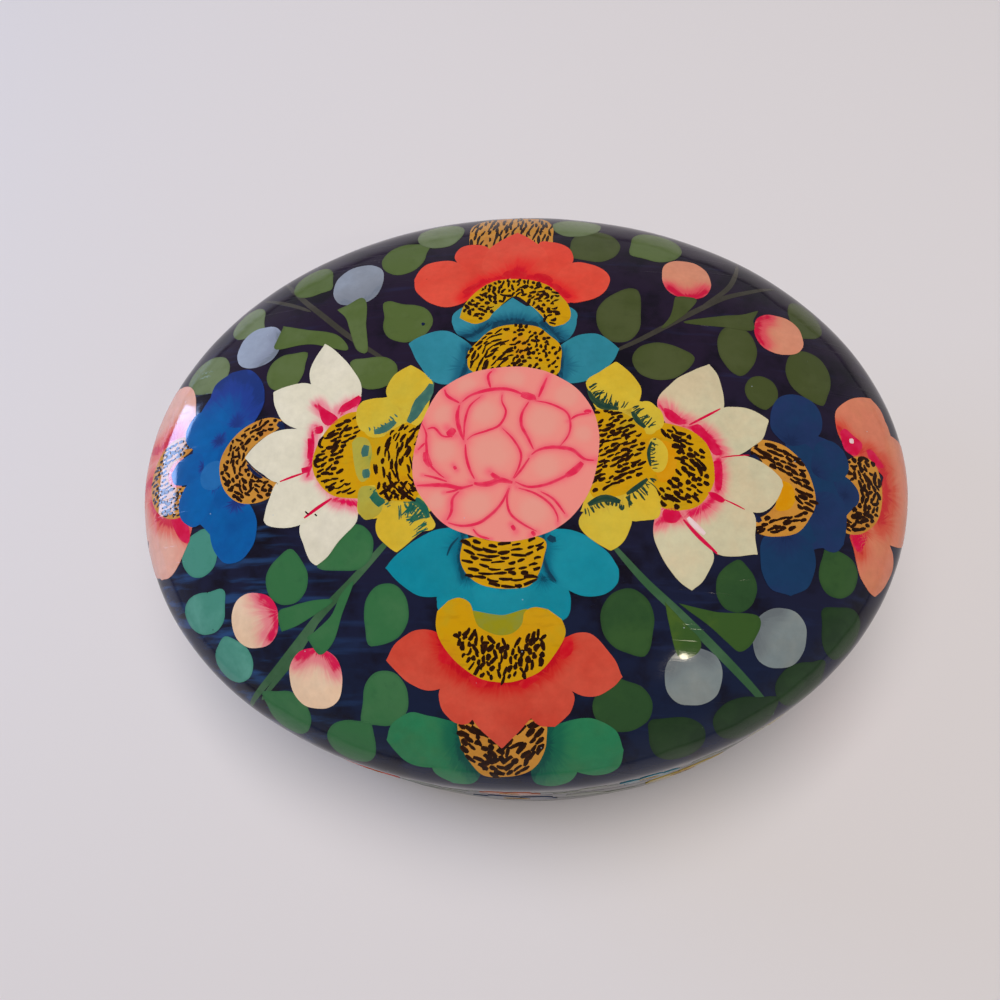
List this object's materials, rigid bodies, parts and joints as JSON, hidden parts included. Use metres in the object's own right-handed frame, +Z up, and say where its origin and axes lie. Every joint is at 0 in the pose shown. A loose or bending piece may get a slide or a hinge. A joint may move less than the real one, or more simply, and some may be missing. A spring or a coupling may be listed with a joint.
{
  "type": "papier-mache box",
  "caption": "Oval lacquered papier-mache trinket box with a domed lift-off lid, painted flowers and a glued inner collar.",
  "frame": {"origin": "middle of the flat underside, on the table", "axes": "+X along the long axis of the oval, +Z up through the middle of the lid, -Y towards the viewer of the picture"},
  "size_m": [0.114, 0.09, 0.052],
  "materials": {
    "lid_lacquer": "gloss",
    "base_lacquer": "gloss",
    "collar_board": "satin"
  },
  "bodies": {
    "base": {"base_wall": "base_lacquer", "base_floor": "base_lacquer", "collar": "collar_board"},
    "lid": {"lid_band": "lid_lacquer", "lid_crown": "lid_lacquer"}
  },
  "joints": [
    {"name": "lid_lift", "type": "slide", "parent": "base", "child": "lid", "axis": [0, 0, 1], "range_m": [0, 0.08]}
  ]
}
